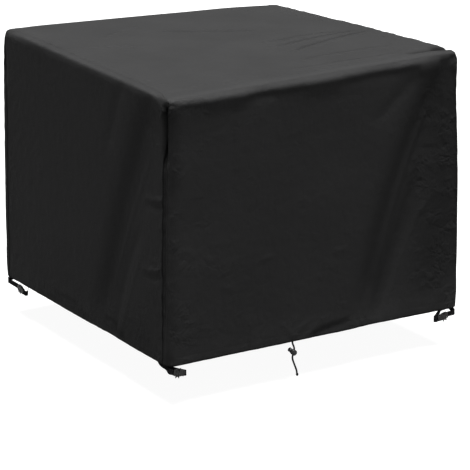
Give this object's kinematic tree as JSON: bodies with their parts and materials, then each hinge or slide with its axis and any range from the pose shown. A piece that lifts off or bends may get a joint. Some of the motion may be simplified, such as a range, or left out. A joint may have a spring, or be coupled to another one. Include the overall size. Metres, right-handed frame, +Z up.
{
  "type": "patio furniture cover",
  "caption": "Square fitted fabric cover for outdoor furniture, with clip straps that go round the legs and a hem draw cord with a spring lock.",
  "frame": {"origin": "centre of the underside of the top, where the furniture holds the cover up", "axes": "+Z up; +X along the front wall from its left corner to its right one, the front wall being the one with the draw cord; +Y towards the back wall"},
  "size_m": [0.974, 0.9734, 0.8587],
  "materials": {
    "cover_cloth": "tight plain weave, coated, satin matte",
    "webbing": "matte woven",
    "buckle_plastic": "moulded, semi-gloss",
    "lock_plastic": "moulded, semi-gloss",
    "draw_cord": "braided, matte"
  },
  "bodies": {
    "cover": {"wrap_panel": "cover_cloth", "end_panel_left": "cover_cloth", "end_panel_right": "cover_cloth", "strap_long_front_left": "webbing", "strap_long_front_right": "webbing", "strap_long_back_left": "webbing", "strap_long_back_right": "webbing", "strap_short_front_left": "webbing", "strap_short_front_right": "webbing", "strap_short_back_left": "webbing", "strap_short_back_right": "webbing", "buckle_socket_front_left": "buckle_plastic", "buckle_socket_front_right": "buckle_plastic", "buckle_socket_back_left": "buckle_plastic", "buckle_socket_back_right": "buckle_plastic", "buckle_plug_front_left": "buckle_plastic", "buckle_plug_front_right": "buckle_plastic", "buckle_plug_back_left": "buckle_plastic", "buckle_plug_back_right": "buckle_plastic", "draw_cord": "draw_cord", "draw_cord_knot": "draw_cord", "cord_lock_barrel": "lock_plastic"},
    "lock_button": {"cord_lock_button": "lock_plastic"}
  },
  "joints": [
    {"name": "lock_button_press", "type": "slide", "parent": "cover", "child": "lock_button", "axis": [0.766, 0, -0.6428], "range_m": [0, 0.0032], "stiffness_N_per_m": 600, "springref_m": -0.004}
  ]
}
